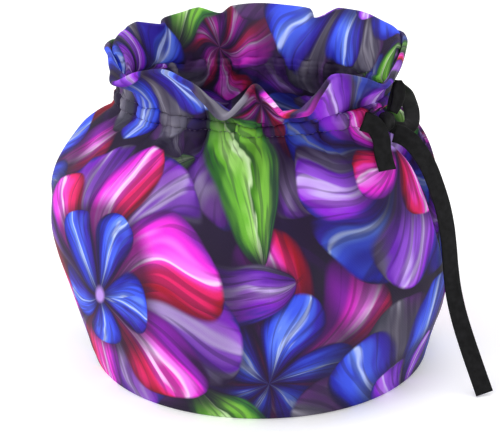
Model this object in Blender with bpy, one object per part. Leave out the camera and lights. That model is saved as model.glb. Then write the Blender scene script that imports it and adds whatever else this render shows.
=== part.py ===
import math

import bmesh
import bpy
import numpy as np

# Tea cosy in printed cloth, in the shape in which it hangs: two panels joined at the side seams
# below a long slit on the right and a shorter one on the left, a gathered neck with a casing for
# the ribbon, and a frill above it.
# Lengths in the tables are millimetres and angles are degrees, measured from the right side (+X)
# towards the back (+Y). The front faces -Y.

MM = 0.001
CENTRE_X = -5.9
CENTRE_Y = -0.4
COLUMNS = 54
CLOTH_HALF = 1.25
HEM_HALF = 1.5
SEAM_HALF_GAP = 0.15
HEM_FLAT_HALF = 0.7

CASING_HEIGHT = 131.6
CASING_REACH = (70.5, 58.6, 73.5, 58.6)
CASING_LEAN = -0.3
CASING_OFFSETS = (-3.0, -1.6, 1.6, 3.0)
CHANNEL_HALF = (0.75, 1.0, 1.0, 0.75)
CASING_WALL = 1.1

FRILL_STEPS = (0.0, 0.05, 0.11, 0.18, 0.28, 0.4, 0.55, 0.7, 0.85, 1.0)
FRILL_BASE_HEIGHT = 137.6
FRILL_LIFT = 0.6
FRILL_OUT = 2.0
FAN_SHARE = 0.24
FLAP_IN = 4.0
FLAP_BULGE = 2.6
FLAP_BEGINS = -32.0
FLAP_BLEND = 20.0

RIBBON_WIDTH = 9.0
RIBBON_THICK = 1.0
RIBBON_COLOUR = (0.012, 0.012, 0.014)
RIBBON_ROUGHNESS = 0.55
STRING_HALF = ((2.5, 0.35), (1.5, 0.7), (-1.5, 0.7), (-2.5, 0.35))
STRING_GAP = 0.3
STRING_CROSSING = 6

KNOT_ANGLE = -18.0
KNOT_REACH = 72.3
KNOT_HEIGHT = 133.0
KNOT_HALF = (3.2, 4.6, 4.4)
KNOT_SQUARENESS = 0.62
KNOT_RINGS = 8
KNOT_SECTORS = 12

# One row per level of the body: how far the cloth reaches from the axis on each side, and how
# far each free edge stands from its seam line. SEAM_HALF_GAP marks a joined seam.
BODY = (
    # height, right, front, left, back, right front, right back, left back, left front
    (1.2, 86.0, 86.3, 86.0, 86.3, 0.15, 0.15, 0.15, 0.15),
    (9.0, 87.8, 89.3, 88.4, 89.0, 0.15, 0.15, 0.15, 0.15),
    (20.0, 90.8, 92.2, 91.8, 92.0, 0.15, 0.15, 0.15, 0.15),
    (32.0, 94.2, 94.4, 95.8, 94.0, 0.15, 0.15, 0.15, 0.15),
    (45.0, 95.4, 95.4, 100.4, 95.0, 4.5, 1.5, 0.15, 0.15),
    (57.0, 94.4, 95.4, 104.6, 95.2, 9.0, 2.4, 0.15, 0.15),
    (69.0, 92.6, 94.2, 107.0, 94.0, 13.5, 3.6, 8.0, 8.0),
    (81.0, 90.4, 91.6, 106.2, 91.4, 17.0, 5.5, 13.5, 13.5),
    (92.0, 87.6, 87.8, 102.8, 87.6, 18.5, 9.0, 16.5, 16.5),
    (102.0, 84.2, 82.8, 98.0, 82.8, 19.0, 15.0, 18.0, 18.0),
    (111.0, 81.2, 76.8, 92.4, 76.8, 20.5, 24.0, 18.0, 18.0),
    (119.0, 77.4, 70.0, 86.6, 70.0, 23.0, 33.0, 17.5, 17.5),
    (125.0, 73.2, 62.8, 79.6, 62.8, 26.0, 38.0, 17.0, 17.0),
)
CASING_EDGES = (28.6, 39.5, 17.0, 17.0)

# Outward roll of the free edges, one row per level.
LIPS = (
    # height, right, left
    (33.0, 0.0, 0.0),
    (57.0, 1.6, 0.0),
    (72.0, 2.6, 2.2),
    (92.0, 3.0, 3.4),
    (111.0, 2.8, 2.6),
    (125.0, 1.2, 1.0),
    (129.0, 0.0, 0.0),
)
LIP_WIDTH = 9.0

# Rim of the frill, one row per fold from the right side round to the left side.
FRONT_RIM = (
    # angle, reach, height
    (38.5, 75.5, 159.6),
    (29.0, 73.6, 158.6),
    (18.0, 70.5, 158.0),
    (6.0, 69.2, 157.4),
    (-10.0, 70.8, 155.4),
    (-18.0, 74.6, 153.8),
    (-25.5, 77.6, 153.0),
    (-32.0, 73.0, 156.8),
    (-44.0, 70.0, 160.4),
    (-53.0, 77.0, 154.6),
    (-59.5, 86.0, 149.2),
    (-65.5, 87.5, 149.2),
    (-70.0, 79.0, 154.2),
    (-74.8, 70.5, 158.2),
    (-79.0, 79.0, 153.2),
    (-83.5, 88.0, 148.2),
    (-90.0, 83.5, 153.8),
    (-98.5, 76.0, 159.2),
    (-112.0, 70.0, 160.6),
    (-123.0, 74.0, 157.6),
    (-131.5, 80.0, 151.8),
    (-141.0, 75.8, 154.8),
    (-156.0, 73.4, 157.0),
    (-170.5, 75.8, 158.4),
)
BACK_RIM = (
    (39.4, 76.0, 159.4),
    (44.0, 76.5, 160.0),
    (52.0, 77.5, 160.6),
    (66.0, 80.0, 162.2),
    (75.0, 79.5, 162.4),
    (81.5, 67.5, 158.8),
    (87.0, 77.5, 161.0),
    (96.0, 80.0, 161.4),
    (107.0, 82.0, 161.8),
    (118.0, 78.5, 161.6),
    (125.3, 67.5, 160.8),
    (131.5, 79.0, 161.8),
    (141.0, 77.5, 160.4),
    (149.0, 75.5, 160.0),
    (156.5, 67.5, 159.6),
    (161.5, 78.5, 160.2),
    (171.0, 79.0, 159.6),
    (181.0, 77.2, 158.8),
    (188.8, 76.2, 158.4),
)

# Gathers below and above the casing, one row per pleat. Reach is how far down it fades out.
GATHERS = (
    # angle at the neck, lean, depth, width, reach
    (-33.0, -2.0, 1.2, 4.4, 26.0),
    (-46.0, 2.0, 2.7, 4.3, 46.0),
    (-60.0, -1.0, 1.8, 3.6, 22.0),
    (-72.0, 1.0, 2.6, 4.1, 34.0),
    (-85.0, -3.0, 2.2, 3.8, 40.0),
    (-99.0, -4.0, 2.8, 4.5, 52.0),
    (-113.0, -6.0, 2.3, 4.1, 48.0),
    (-126.0, -9.0, 3.0, 4.7, 66.0),
    (-140.0, -8.0, 2.4, 4.3, 58.0),
    (-154.0, -6.0, 1.9, 4.0, 30.0),
    (38.0, 4.0, 2.7, 4.5, 50.0),
    (53.0, 2.0, 2.0, 4.0, 28.0),
    (67.0, 1.0, 2.8, 4.3, 44.0),
    (81.0, 0.0, 2.4, 4.0, 36.0),
    (96.0, -1.0, 2.0, 4.1, 30.0),
    (110.0, 2.0, 2.7, 4.5, 48.0),
    (125.0, 3.0, 2.4, 4.1, 40.0),
    (139.0, 5.0, 2.6, 4.3, 54.0),
    (153.0, 5.0, 1.9, 4.0, 32.0),
)

# Free ends and loops of the ribbon. Each row is a place on its middle line, measured from the
# axis of the body, and the way its flat side faces there.
LONG_TAIL = (
    # x, y, z, facing angle, facing rise
    (72.8, -21.6, 127.6, -73.0, 20.0),
    (76.4, -21.0, 126.6, -70.0, 24.0),
    (80.6, -20.2, 123.8, -64.0, 26.0),
    (85.0, -18.4, 118.0, -56.0, 22.0),
    (89.0, -16.2, 110.4, -50.0, 14.0),
    (92.6, -14.8, 101.2, -46.0, 10.0),
    (96.0, -13.8, 91.0, -44.0, 8.0),
    (98.6, -13.4, 80.0, -44.0, 6.0),
    (100.4, -13.8, 69.0, -44.0, 4.0),
    (102.0, -15.0, 58.0, -46.0, 4.0),
    (104.2, -16.6, 47.0, -50.0, 4.0),
    (107.8, -18.8, 35.6, -54.0, 6.0),
    (112.6, -21.6, 24.0, -58.0, 8.0),
    (118.2, -25.0, 12.0, -60.0, 12.0),
    (123.6, -29.0, 1.4, -62.0, 16.0),
)
SHORT_TAIL = (
    (69.3, -27.7, 132.2, -58.0, 12.0),
    (68.6, -31.6, 129.2, -54.0, 16.0),
    (69.6, -34.4, 124.6, -52.0, 24.0),
    (71.4, -36.6, 119.8, -52.0, 28.0),
    (73.8, -39.0, 114.8, -52.0, 28.0),
)
BOW_LOOP = (
    (69.9, -21.6, 138.4, -17.0, 0.0),
    (70.4, -18.8, 142.0, -14.0, 0.0),
    (71.9, -10.1, 144.2, -8.0, 0.0),
    (72.2, 5.0, 144.6, 4.0, 0.0),
    (68.9, 19.6, 144.0, 15.0, 0.0),
    (65.0, 30.4, 143.6, 19.0, 0.0),
    (65.5, 32.7, 143.6, -41.0, 0.0),
    (67.6, 33.5, 143.6, -101.0, 0.0),
    (69.4, 32.0, 143.6, -161.0, 0.0),
    (73.8, 19.6, 144.0, -163.0, 0.0),
    (76.4, 5.4, 143.8, -176.0, 0.0),
    (75.9, -10.0, 143.4, -188.0, 0.0),
    (73.6, -18.6, 141.8, -194.0, 0.0),
    (72.4, -22.2, 138.4, -197.0, 0.0),
)
# The ribbon from the back casing round the outside of the right slit to the knot.
SLIT_CROSSING = (
    # angle, reach, height
    (29.0, 71.4, 133.2),
    (22.0, 73.4, 135.2),
    (13.0, 76.0, 135.6),
    (4.0, 77.8, 133.4),
    (-3.0, 77.2, 131.6),
    (-9.0, 74.8, 131.4),
)


def clear_scene():
    for thing in list(bpy.data.objects):
        bpy.data.objects.remove(thing)


def cloth_material(name, colour, roughness):
    material = bpy.data.materials.new(name)
    material.use_nodes = True
    shader = material.node_tree.nodes["Principled BSDF"]
    shader.inputs["Base Color"].default_value = (*colour, 1.0)
    shader.inputs["Roughness"].default_value = roughness
    return material


def smooth_table(rows, column, where):
    """Monotone cubic through one column of a table whose first column rises or falls."""
    table = np.array(rows, float)
    table = table[np.argsort(table[:, 0])]
    knots = table[:, 0]
    values = table[:, column]
    steps = np.diff(knots)
    slopes = np.diff(values) / steps
    rates = np.zeros(len(knots))
    for k in range(1, len(knots) - 1):
        if slopes[k - 1] * slopes[k] > 0:
            near = 2 * steps[k] + steps[k - 1]
            far = steps[k] + 2 * steps[k - 1]
            rates[k] = (near + far) / (near / slopes[k - 1] + far / slopes[k])
    rates[0] = slopes[0]
    rates[-1] = slopes[-1]
    place = np.clip(where, knots[0], knots[-1])
    index = np.clip(np.searchsorted(knots, place) - 1, 0, len(steps) - 1)
    part = (place - knots[index]) / steps[index]
    return (
        values[index] * (1 + 2 * part) * (1 - part) ** 2
        + rates[index] * steps[index] * part * (1 - part) ** 2
        + values[index + 1] * part**2 * (3 - 2 * part)
        + rates[index + 1] * steps[index] * part**2 * (part - 1)
    )


def reach_at(sides, angle):
    """Radius of an egg-shaped section given by its reach on the four sides."""
    right, front, left, back = sides
    radians = np.radians(angle)
    along = np.cos(radians)
    across = np.sin(radians)
    half_x = np.where(along >= 0, right, left)
    half_y = np.where(across >= 0, back, front)
    return 1 / np.sqrt((along / half_x) ** 2 + (across / half_y) ** 2)


def gather_depth(angle, height):
    """Depth of the pleats, deepest at the casing and fading down the body and up the frill."""
    below = max(0.0, CASING_HEIGHT - height)
    above = max(0.0, height - CASING_HEIGHT)
    total = np.zeros_like(angle)
    for middle, lean, depth, width, reach in GATHERS:
        fade = math.exp(-((below / reach) ** 2) * 2.2 - above / 14.0)
        centre = middle + lean * below / 50.0
        spread = width * (1 + below / 45.0)
        total += depth * fade * np.exp(-(((angle - centre) / spread) ** 2))
    return total


def slow_waves(angle, height):
    """Uneven hang of the body cloth."""
    belly = math.exp(-(((height - 52.0) / 42.0) ** 2))
    turn = np.radians(angle)
    return belly * (
        0.8 * np.sin(3 * turn + 0.7 + height / 60.0)
        + 0.6 * np.sin(5 * turn - 1.1 - height / 48.0)
    )


def casing_sides(offset):
    return tuple(reach + CASING_LEAN * offset for reach in CASING_REACH)


def levels():
    """Every row of a panel below the frill: height, sides, edge distances, half thickness."""
    rows = []
    for k, row in enumerate(BODY):
        rows.append((row[0], row[1:5], row[5:9], HEM_HALF if k < 2 else CLOTH_HALF))
    for offset, half in zip(CASING_OFFSETS, CHANNEL_HALF):
        height = CASING_HEIGHT + offset
        rows.append((height, casing_sides(offset), CASING_EDGES, half + CASING_WALL))
    return rows


def edge_angle(distance, reach):
    return math.degrees(math.asin(min(distance / reach, 0.9)))


def fan(share):
    """How much of the frill's sideways spread a column takes, most at its end."""
    return np.clip(1 - share / FAN_SHARE, 0.0, 1.0) ** 1.5


def panel_grid(front):
    """Middle surface of one panel: points by row and column, and half thickness by row."""
    share = np.linspace(0.0, 1.0, COLUMNS + 1)
    side = -1.0 if front else 1.0
    rim_rows = FRONT_RIM if front else BACK_RIM
    points = []
    halves = []
    closed = []
    for height, sides, edges, half in levels():
        near, far = (edges[0], edges[3]) if front else (edges[1], edges[2])
        start = edge_angle(near, sides[0])
        finish = 180.0 - edge_angle(far, sides[2])
        angle = side * (start + (finish - start) * share)
        reach = reach_at(sides, angle)
        level = height if height < CASING_HEIGHT + CASING_OFFSETS[0] else CASING_HEIGHT
        reach = reach - gather_depth(angle, level) + slow_waves(angle, height)
        right_lip = smooth_table(LIPS, 1, np.array([height]))[0]
        left_lip = smooth_table(LIPS, 2, np.array([height]))[0]
        from_near = np.radians(np.abs(angle) - start) * sides[0]
        from_far = np.radians(finish - np.abs(angle)) * sides[2]
        reach = reach + right_lip * np.exp(-((from_near / LIP_WIDTH) ** 2))
        reach = reach + left_lip * np.exp(-((from_far / LIP_WIDTH) ** 2))
        turn = np.radians(angle)
        points.append(np.stack([reach * np.cos(turn), reach * np.sin(turn), height + 0 * turn], 1))
        halves.append(half)
        closed.append((near <= SEAM_HALF_GAP, far <= SEAM_HALF_GAP))
    base_sides = casing_sides(CASING_OFFSETS[-1])
    near, far = (CASING_EDGES[0], CASING_EDGES[3]) if front else (CASING_EDGES[1], CASING_EDGES[2])
    start = edge_angle(near, base_sides[0])
    finish = 180.0 - edge_angle(far, base_sides[2])
    foot_angle = side * (start + (finish - start) * share)
    near_spread = rim_rows[0][0] - foot_angle[0]
    far_spread = rim_rows[-1][0] - foot_angle[-1]
    spread = near_spread * fan(share) + far_spread * fan(1 - share)
    foot_reach = reach_at(base_sides, foot_angle) - gather_depth(foot_angle, FRILL_BASE_HEIGHT)
    rim_angle = foot_angle + spread
    rim_reach = smooth_table(rim_rows, 1, rim_angle)
    rim_height = smooth_table(rim_rows, 2, rim_angle)
    for step in FRILL_STEPS:
        angle = foot_angle + spread * (1 - (1 - step) ** 3)
        flap = np.clip((angle - FLAP_BEGINS) / FLAP_BLEND, 0.0, 1.0) if front else 0.0 * angle
        low = (1 - step) ** 2
        mid = 2 * step * (1 - step)
        high = step**2
        reach = low * foot_reach + mid * (foot_reach + FRILL_OUT - FLAP_IN * flap) + high * rim_reach
        reach = reach + FLAP_BULGE * flap * 6.75 * step**2 * (1 - step)
        bend = FRILL_BASE_HEIGHT + FRILL_LIFT * (rim_height - FRILL_BASE_HEIGHT)
        height = low * FRILL_BASE_HEIGHT + mid * bend + high * rim_height
        turn = np.radians(angle)
        points.append(np.stack([reach * np.cos(turn), reach * np.sin(turn), height], 1))
        halves.append(CLOTH_HALF)
        closed.append((False, False))
    return np.array(points), np.array(halves), closed


def grid_normals(points, front):
    """Outward unit normals of a grid of points."""
    along = np.gradient(points, axis=1)
    upward = np.gradient(points, axis=0)
    normal = np.cross(along, upward)
    if front:
        normal = -normal
    return normal / np.linalg.norm(normal, axis=2, keepdims=True)


def centred(point):
    return (
        (point[0] - CENTRE_X) * MM,
        (point[1] - CENTRE_Y) * MM,
        point[2] * MM,
    )


def finish_object(name, mesh_builder, material):
    mesh = bpy.data.meshes.new(name)
    bmesh.ops.recalc_face_normals(mesh_builder, faces=mesh_builder.faces)
    mesh_builder.to_mesh(mesh)
    mesh_builder.free()
    for face in mesh.polygons:
        face.use_smooth = True
    made = bpy.data.objects.new(name, mesh)
    made.data.materials.append(material)
    bpy.context.collection.objects.link(made)
    return made


def build_panel(name, front, material):
    """One panel as a closed sheet, with the ribbon's channel running through its casing."""
    points, halves, closed = panel_grid(front)
    normals = grid_normals(points, front)
    rows, columns = points.shape[:2]
    seam_y = -SEAM_HALF_GAP if front else SEAM_HALF_GAP
    first = len(BODY)
    last = first + len(CASING_OFFSETS) - 1
    shell = bmesh.new()

    def corner(row, column, offset):
        place = points[row, column] + normals[row, column] * offset
        at_side = (column == 0 and closed[row][0]) or (column == columns - 1 and closed[row][1])
        if at_side:
            place[1] = seam_y
        return shell.verts.new(centred(place))

    outer = [[corner(j, i, halves[j]) for i in range(columns)] for j in range(rows)]
    inner = [[corner(j, i, -halves[j]) for i in range(columns)] for j in range(rows)]
    channel_out = {}
    channel_in = {}
    for j in range(first, last + 1):
        gap = CHANNEL_HALF[j - first]
        channel_out[j] = [corner(j, i, gap) for i in range(columns)]
        channel_in[j] = [corner(j, i, -gap) for i in range(columns)]

    def hem_corner(column, offset):
        place = points[0, column] + normals[0, column] * offset
        if column in (0, columns - 1):
            place[1] = seam_y
        place[2] = 0.0
        return shell.verts.new(centred(place))

    def rim_corner(column):
        rise = points[-1, column] - points[-2, column]
        rise = rise / np.linalg.norm(rise)
        return shell.verts.new(centred(points[-1, column] + rise * CLOTH_HALF * 0.7))

    hem_out = [hem_corner(i, HEM_FLAT_HALF) for i in range(columns)]
    hem_in = [hem_corner(i, -HEM_FLAT_HALF) for i in range(columns)]
    rim = [rim_corner(i) for i in range(columns)]

    def strip(lower, upper):
        for i in range(columns - 1):
            shell.faces.new((lower[i], lower[i + 1], upper[i + 1], upper[i]))

    for j in range(rows - 1):
        strip(outer[j], outer[j + 1])
        strip(inner[j], inner[j + 1])
    strip(outer[-1], rim)
    strip(inner[-1], rim)
    strip(hem_out, outer[0])
    strip(hem_in, inner[0])
    strip(hem_out, hem_in)
    for j in range(first, last):
        strip(channel_out[j], channel_out[j + 1])
        strip(channel_in[j], channel_in[j + 1])
    strip(channel_out[first], channel_in[first])
    strip(channel_out[last], channel_in[last])

    for i in (0, columns - 1):
        shell.faces.new((hem_out[i], outer[0][i], inner[0][i], hem_in[i]))
        for j in range(rows - 1):
            if j == first - 1:
                shell.faces.new((
                    outer[j][i], outer[j + 1][i], channel_out[j + 1][i],
                    channel_in[j + 1][i], inner[j + 1][i], inner[j][i],
                ))
            elif first <= j < last:
                shell.faces.new((
                    outer[j][i], outer[j + 1][i], channel_out[j + 1][i], channel_out[j][i],
                ))
                shell.faces.new((
                    channel_in[j][i], channel_in[j + 1][i], inner[j + 1][i], inner[j][i],
                ))
            elif j == last:
                shell.faces.new((
                    outer[j][i], outer[j + 1][i], inner[j + 1][i], inner[j][i],
                    channel_in[j][i], channel_out[j][i],
                ))
            else:
                shell.faces.new((outer[j][i], outer[j + 1][i], inner[j + 1][i], inner[j][i]))
        shell.faces.new((outer[-1][i], rim[i], inner[-1][i]))
    return finish_object(name, shell, material)


def smooth_path(rows, pieces):
    """Catmull-Rom path through the rows, with every column carried along."""
    table = np.array(rows, float)
    ends = np.vstack([2 * table[0] - table[1], table, 2 * table[-1] - table[-2]])
    path = []
    for k in range(1, len(ends) - 2):
        for part in np.linspace(0.0, 1.0, pieces, endpoint=False):
            before, here, after, later = ends[k - 1 : k + 3]
            path.append(
                0.5
                * (
                    2 * here
                    + (after - before) * part
                    + (2 * before - 5 * here + 4 * after - later) * part**2
                    + (3 * here - before - 3 * after + later) * part**3
                )
            )
    path.append(table[-1])
    return np.array(path)


def swept_solid(name, sections, material):
    """A closed solid from a row of equal rings, capped at both ends."""
    shell = bmesh.new()
    rings = [[shell.verts.new(centred(place)) for place in ring] for ring in sections]
    count = len(rings[0])
    for ring, after in zip(rings, rings[1:]):
        for k in range(count):
            following = (k + 1) % count
            shell.faces.new((ring[k], ring[following], after[following], after[k]))
    shell.faces.new(rings[0])
    shell.faces.new(rings[-1])
    made = finish_object(name, shell, material)
    for face in made.data.polygons:
        face.use_smooth = False
    return made


def ribbon_sections(rows, pieces):
    """Flat ribbon along a path, its width square to the path and to the way it faces."""
    path = smooth_path(rows, pieces)
    places = path[:, :3]
    heading = np.gradient(places, axis=0)
    heading /= np.linalg.norm(heading, axis=1, keepdims=True)
    turn = np.radians(path[:, 3])
    rise = np.radians(path[:, 4])
    facing = np.stack(
        [np.cos(rise) * np.cos(turn), np.cos(rise) * np.sin(turn), np.sin(rise)], 1
    )
    across = np.cross(heading, facing)
    across /= np.linalg.norm(across, axis=1, keepdims=True)
    flat = np.cross(across, heading)
    half = RIBBON_WIDTH / 2
    thin = RIBBON_THICK / 2
    return [
        [
            place + wide * half + out * thin,
            place - wide * half + out * thin,
            place - wide * half - out * thin,
            place + wide * half - out * thin,
        ]
        for place, wide, out in zip(places, across, flat)
    ]


def casing_line(front):
    """Middle of the channel at each column, with the way out of the cloth and the way up it."""
    points, halves, closed = panel_grid(front)
    normals = grid_normals(points, front)
    low = len(BODY) + 1
    middle = (points[low] + points[low + 1]) / 2
    upward = points[low + 1] - points[low]
    upward /= np.linalg.norm(upward, axis=1, keepdims=True)
    outward = normals[low] + normals[low + 1]
    outward /= np.linalg.norm(outward, axis=1, keepdims=True)
    return middle, outward, upward


def knot_frame():
    turn = math.radians(KNOT_ANGLE)
    outward = np.array([math.cos(turn), math.sin(turn), 0.0])
    along = np.array([-math.sin(turn), math.cos(turn), 0.0])
    return outward * KNOT_REACH + np.array([0.0, 0.0, KNOT_HEIGHT]), outward, along


def build_drawstring(material):
    """The bunched ribbon, from one side of the knot through both casings to the other side."""
    middle, outward, along = knot_frame()
    side = along * (KNOT_HALF[1] + STRING_GAP)
    up = np.array([0.0, 0.0, 1.0])
    front = list(zip(*casing_line(True)))
    back = list(zip(*casing_line(False)))
    low_middle = middle * (1.0, 1.0, 0.0) + up * CASING_HEIGHT
    stations = [(low_middle - side, outward, up)]
    stations += front
    reach = 0.5 * (np.linalg.norm(front[-1][0][:2]) + np.linalg.norm(back[-1][0][:2]))
    begin = math.atan2(front[-1][0][1], front[-1][0][0]) % (2 * math.pi)
    end = math.atan2(back[-1][0][1], back[-1][0][0])
    for part in np.linspace(0.0, 1.0, STRING_CROSSING + 2)[1:-1]:
        turn = begin + (end - begin) * part
        radial = np.array([math.cos(turn), math.sin(turn), 0.0])
        stations.append((radial * reach + up * CASING_HEIGHT, radial, front[-1][2]))
    stations += back[::-1]
    for angle, reach, height in SLIT_CROSSING:
        turn = math.radians(angle)
        radial = np.array([math.cos(turn), math.sin(turn), 0.0])
        stations.append((radial * reach + up * height, radial, up))
    finish = low_middle + side
    stations.append((finish, outward, up))
    ring_places = STRING_HALF + tuple((-wide, -thin) for wide, thin in STRING_HALF)
    sections = [
        [place + upward * wide + out * thin for wide, thin in ring_places]
        for place, out, upward in stations
    ]
    return swept_solid("drawstring", sections, material)


def build_knot(material):
    """Pulled knot as a soft block."""
    middle, outward, along = knot_frame()
    up = np.array([0.0, 0.0, 1.0])

    def softened(value):
        return math.copysign(abs(value) ** KNOT_SQUARENESS, value)

    shell = bmesh.new()
    rings = []
    for ring in range(1, KNOT_RINGS):
        polar = math.pi * ring / KNOT_RINGS - math.pi / 2
        spots = []
        for sector in range(KNOT_SECTORS):
            turn = 2 * math.pi * sector / KNOT_SECTORS
            place = (
                middle
                + outward * KNOT_HALF[0] * softened(math.cos(polar)) * softened(math.cos(turn))
                + along * KNOT_HALF[1] * softened(math.cos(polar)) * softened(math.sin(turn))
                + up * KNOT_HALF[2] * softened(math.sin(polar))
            )
            spots.append(shell.verts.new(centred(place)))
        rings.append(spots)
    for ring, after in zip(rings, rings[1:]):
        for k in range(KNOT_SECTORS):
            following = (k + 1) % KNOT_SECTORS
            shell.faces.new((ring[k], ring[following], after[following], after[k]))
    for ring, height in ((rings[0], -KNOT_HALF[2]), (rings[-1], KNOT_HALF[2])):
        tip = shell.verts.new(centred(middle + up * height))
        for k in range(KNOT_SECTORS):
            shell.faces.new((ring[k], ring[(k + 1) % KNOT_SECTORS], tip))
    return finish_object("knot", shell, material)


def main():
    clear_scene()
    build_panel("front_panel", True, cloth_material("front_print", (0.30, 0.05, 0.42), 0.75))
    build_panel("back_panel", False, cloth_material("back_print", (0.24, 0.06, 0.44), 0.75))
    ribbon = {
        name: cloth_material(name + "_ribbon", RIBBON_COLOUR, RIBBON_ROUGHNESS)
        for name in ("drawstring", "knot", "bow_loop", "tail_short", "tail_long")
    }
    build_drawstring(ribbon["drawstring"])
    build_knot(ribbon["knot"])
    swept_solid("bow_loop", ribbon_sections(BOW_LOOP, 2), ribbon["bow_loop"])
    swept_solid("tail_short", ribbon_sections(SHORT_TAIL, 3), ribbon["tail_short"])
    swept_solid("tail_long", ribbon_sections(LONG_TAIL, 3), ribbon["tail_long"])


main()
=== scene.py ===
import math

import bpy
import numpy as np
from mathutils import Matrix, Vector


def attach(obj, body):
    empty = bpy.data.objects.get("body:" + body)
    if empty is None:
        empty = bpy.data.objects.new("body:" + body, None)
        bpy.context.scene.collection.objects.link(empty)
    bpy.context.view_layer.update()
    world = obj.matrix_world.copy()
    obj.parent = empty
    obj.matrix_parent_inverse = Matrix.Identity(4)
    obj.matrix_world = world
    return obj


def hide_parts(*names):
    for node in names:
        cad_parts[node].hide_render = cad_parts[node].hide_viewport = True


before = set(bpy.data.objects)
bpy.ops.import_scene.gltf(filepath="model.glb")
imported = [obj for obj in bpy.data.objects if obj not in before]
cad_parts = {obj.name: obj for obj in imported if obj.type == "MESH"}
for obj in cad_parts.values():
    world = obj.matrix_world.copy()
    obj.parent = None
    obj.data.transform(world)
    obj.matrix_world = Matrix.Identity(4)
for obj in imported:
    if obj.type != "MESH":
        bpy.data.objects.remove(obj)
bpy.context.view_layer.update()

# Tables are in millimetres from the cosy's own axis, angles in degrees from the right side (+X)
# towards the back (+Y). toFrame turns them into the shared frame.
axisPlace = (5.9, 0.4, 0.0)
milli = 0.001


def toFrame(points):
    return (np.asarray(points, float) + axisPlace) * milli


# Camera, stage and light

shot = {
    "azimuth": 17.0,
    "elevation": 20.6,
    "distance": 0.726,
    "target": (0.0, 0.0, 70.0),
    "lens": 101.8,
    "shift": -0.02,
}
studio = {
    "floorSize": 6.0,
    "floorColour": (0.96, 0.96, 0.96),
    "floorGlow": 0.17,
    "worldStrength": 0.84,
    "sunFrom": (-0.85, -0.55, 1.0),
    "sunSpread": 40.0,
    "sunStrength": 1.15,
    "lights": (
        # name, place, size, watts
        ("frontLight", (-0.50, -1.00, 0.75), 0.55, 2.6),
        ("topLight", (0.20, 0.45, 1.10), 0.70, 3.0),
    ),
}


def buildCamera():
    azimuth = math.radians(shot["azimuth"])
    elevation = math.radians(shot["elevation"])
    target = Vector(toFrame(shot["target"]))
    back = Vector((
        math.sin(azimuth) * math.cos(elevation),
        -math.cos(azimuth) * math.cos(elevation),
        math.sin(elevation),
    ))
    data = bpy.data.cameras.new("photoCamera")
    data.sensor_width = 36.0
    data.lens = shot["lens"]
    data.shift_x = shot["shift"]
    camera = bpy.data.objects.new("photoCamera", data)
    camera.location = target + back * shot["distance"]
    camera.rotation_euler = (-back).to_track_quat("-Z", "Y").to_euler()
    bpy.context.collection.objects.link(camera)
    bpy.context.scene.camera = camera


def buildStudio():
    half = studio["floorSize"] / 2
    mesh = bpy.data.meshes.new("floor")
    mesh.from_pydata(
        [(-half, -half, 0.0), (half, -half, 0.0), (half, half, 0.0), (-half, half, 0.0)],
        [],
        [(0, 1, 2, 3)],
    )
    floor = bpy.data.objects.new("floor", mesh)
    bpy.context.collection.objects.link(floor)
    paper = bpy.data.materials.new("paleFloor")
    paper.use_nodes = True
    shader = paper.node_tree.nodes["Principled BSDF"]
    shader.inputs["Base Color"].default_value = (*studio["floorColour"], 1.0)
    shader.inputs["Roughness"].default_value = 0.8
    shader.inputs["Emission Color"].default_value = (1.0, 1.0, 1.0, 1.0)
    shader.inputs["Emission Strength"].default_value = studio["floorGlow"]
    mesh.materials.append(paper)
    world = bpy.data.worlds.new("softWhite")
    world.use_nodes = True
    background = world.node_tree.nodes["Background"]
    background.inputs["Color"].default_value = (1.0, 1.0, 1.0, 1.0)
    background.inputs["Strength"].default_value = studio["worldStrength"]
    bpy.context.scene.world = world
    bpy.context.scene.view_settings.view_transform = "Standard"
    data = bpy.data.lights.new("sunLight", "SUN")
    data.energy = studio["sunStrength"]
    data.angle = math.radians(studio["sunSpread"])
    sun = bpy.data.objects.new("sunLight", data)
    sun.rotation_euler = Vector(studio["sunFrom"]).to_track_quat("Z", "Y").to_euler()
    bpy.context.collection.objects.link(sun)
    for name, place, size, watts in studio["lights"]:
        data = bpy.data.lights.new(name, "AREA")
        data.shape = "DISK"
        data.size = size
        data.energy = watts
        light = bpy.data.objects.new(name, data)
        light.location = place
        light.rotation_euler = (Vector(place) - Vector((0, 0, 0.08))).to_track_quat("Z", "Y").to_euler()
        bpy.context.collection.objects.link(light)
    return floor


# Shader maths: a socket with the usual operators

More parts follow.
